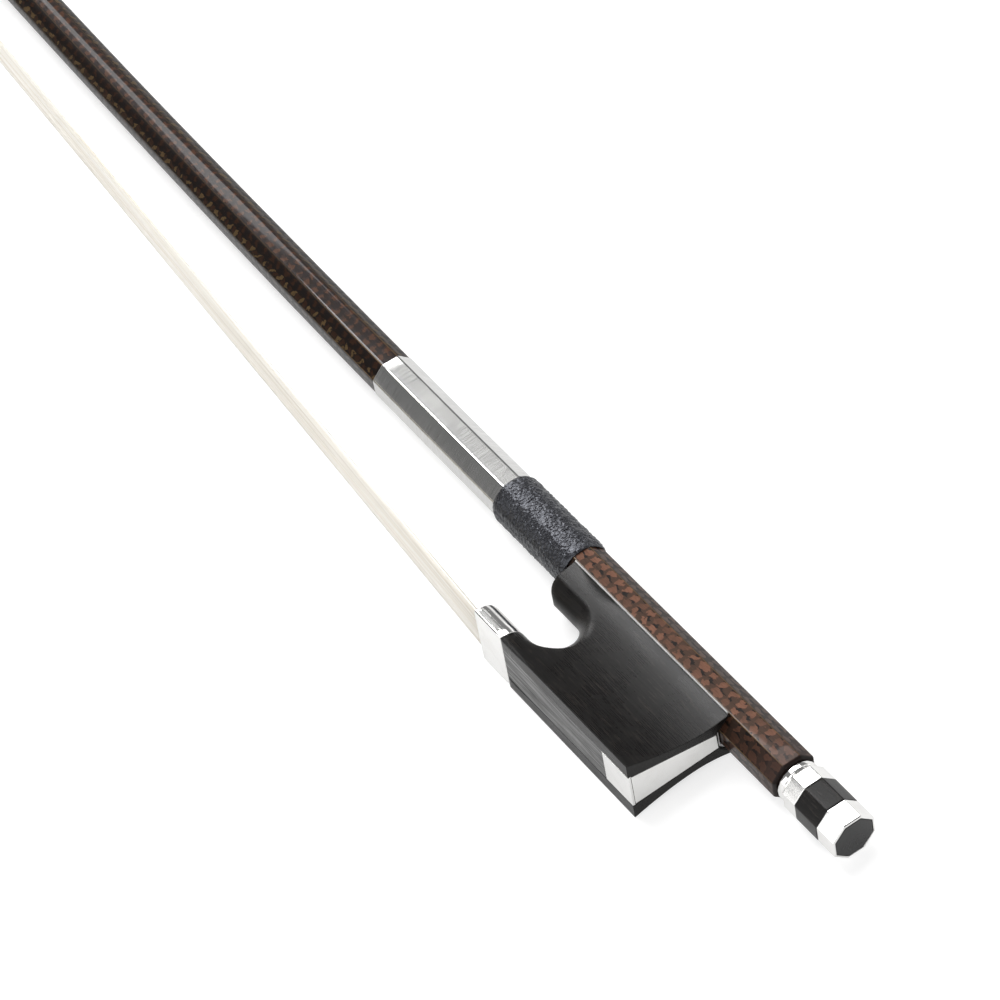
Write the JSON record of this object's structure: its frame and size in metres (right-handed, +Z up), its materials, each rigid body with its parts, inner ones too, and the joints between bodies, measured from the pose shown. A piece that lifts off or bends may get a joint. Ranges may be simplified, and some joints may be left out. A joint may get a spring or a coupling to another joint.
{
  "type": "violin bow",
  "caption": "Violin bow lying on its side: cambered octagonal stick, metal and leather grip, throated frog on a tightening screw with a faceted button, and a flat ribbon of hair.",
  "frame": {"origin": "the middle of the bow's outline on the table that it lies on", "axes": "+X along the handle towards the button, +Y from the hair towards the stick's back, +Z up from the table, about 5 degrees off the normal of the frog's middle plane"},
  "size_m": [0.7512, 0.065, 0.0137],
  "materials": {
    "carbon_weave": "clear-coated carbon weave, high gloss",
    "brushed_sleeve": "brushed across the stick",
    "polished_silver": "polished silver",
    "brushed_grey": "dark, brushed lengthwise",
    "black_leather": "pebbled grain, semi-gloss",
    "ebony": "black, satin",
    "black_eye": "black, polished",
    "ivory_polymer": "off-white, satin",
    "black_fibre": "black, matt",
    "maple": "bare wood",
    "thread": "waxed thread",
    "horsehair": "off-white hair",
    "screw_steel": "turned steel",
    "brass": "bare brass"
  },
  "bodies": {
    "stick": {"stick": "carbon_weave", "metal_sleeve": "brushed_sleeve", "leather_grip": "black_leather", "tip_plate": "ivory_polymer", "tip_plate_lining": "black_fibre", "head_plug": "maple", "head_hair_knot": "thread", "hair_ribbon": "horsehair"},
    "button": {"adjuster_screw": "screw_steel", "button_front_ring": "polished_silver", "button_core": "ebony", "button_rear_ring": "polished_silver", "button_eye": "black_eye"},
    "frog": {"frog_block": "ebony", "underslide_lining": "polished_silver", "lining_screw_front": "brass", "lining_screw_rear": "brass", "ferrule": "polished_silver", "slide": "ebony", "slide_inlay": "brushed_grey", "heel_plate_lower": "polished_silver", "heel_plate_back": "polished_silver", "eyelet": "brass", "spread_wedge": "maple", "frog_plug": "maple", "frog_hair_knot": "thread"}
  },
  "joints": [
    {"name": "screw_turn", "type": "hinge", "parent": "stick", "child": "button", "pos_m": [0.3596, -0.00951, 0.0049], "axis": [-1, 0.0001, 0.0032], "range_deg": [-600, 3400]},
    {"name": "frog_slide", "type": "slide", "parent": "stick", "child": "frog", "axis": [1, -0.0001, -0.0032], "range_m": [-0.001, 0.006], "deforming": ["hair_ribbon"]}
  ],
  "couplings": [
    {"joint": "screw_turn", "follows": "frog_slide", "rad_per_m": 9666.4}
  ]
}
